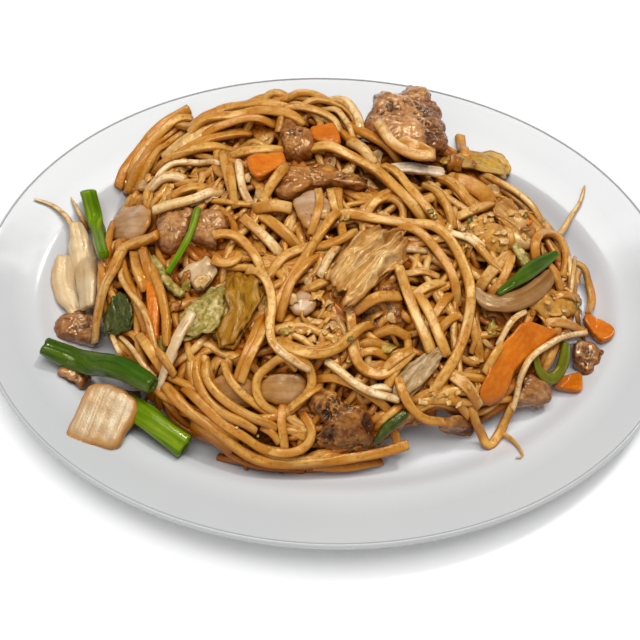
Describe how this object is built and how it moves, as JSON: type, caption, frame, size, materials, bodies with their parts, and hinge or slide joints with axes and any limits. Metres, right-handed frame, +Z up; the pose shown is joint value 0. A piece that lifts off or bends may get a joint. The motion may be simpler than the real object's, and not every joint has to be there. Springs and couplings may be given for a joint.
{
  "type": "plate of beef lo mein",
  "caption": "Stir-fried noodles with beef, carrot, scallion, cabbage, onion and egg heaped on an oval white plate.",
  "frame": {"origin": "under the middle of the plate, on the surface it stands on", "axes": "+X along the plate's long axis, +Y across it and away from the viewer, +Z up"},
  "size_m": [0.305, 0.228, 0.0558],
  "materials": {
    "glazed_plate": "glossy white glaze",
    "noodles": "cooked egg noodle, glossy with brown sauce",
    "beef": "seared beef, grainy, lightly sauced",
    "carrot": "cooked carrot, wet gloss",
    "cabbage": "wilted cabbage stained with sauce, wet gloss",
    "onion": "translucent cooked onion, wet gloss",
    "pale_stem": "pale stem with fine ribs and browned edges, wet gloss",
    "green_leaf": "cooked scallion and leaf greens, wet gloss",
    "egg": "scrambled egg, browned"
  },
  "bodies": {
    "root": {"plate": "glazed_plate", "noodle_heap": "noodles", "beef_far_middle": "beef", "beef_far_right": "beef", "beef_front": "beef", "beef_front_right": "beef", "beef_left_edge": "beef", "beef_left_inner": "beef", "beef_left_low": "beef", "beef_left_middle": "beef", "beef_middle": "beef", "beef_middle_far": "beef", "beef_right": "beef", "beef_right_low": "beef", "cabbage_centre": "cabbage", "cabbage_far_left": "cabbage", "cabbage_far_left_leaf": "cabbage", "cabbage_far_middle": "cabbage", "cabbage_far_right": "cabbage", "cabbage_grey": "cabbage", "cabbage_left": "cabbage", "cabbage_rib": "cabbage", "cabbage_right_upper": "cabbage", "cabbage_strip_left": "cabbage", "carrot_far_left": "carrot", "carrot_far_middle": "carrot", "carrot_right": "carrot", "carrot_right_low": "carrot", "carrot_slab": "carrot", "carrot_sliver": "carrot", "egg_right": "egg", "egg_right_upper": "egg", "leaf_left": "green_leaf", "leaf_olive": "cabbage", "napa_leaf_pale": "cabbage", "napa_stem": "pale_stem", "onion_far_right": "onion", "onion_front_left": "onion", "onion_left": "onion", "onion_loop": "onion", "onion_middle": "onion", "onion_right": "onion", "onion_small": "onion", "scallion_big": "green_leaf", "scallion_dark_front": "green_leaf", "scallion_front": "green_leaf", "scallion_left": "green_leaf", "scallion_right_leaf": "green_leaf", "scallion_right_pale": "cabbage", "scallion_ring": "green_leaf", "scallion_thin": "green_leaf", "stem_left_lower": "pale_stem", "stem_left_upper": "pale_stem"}
  },
  "joints": []
}
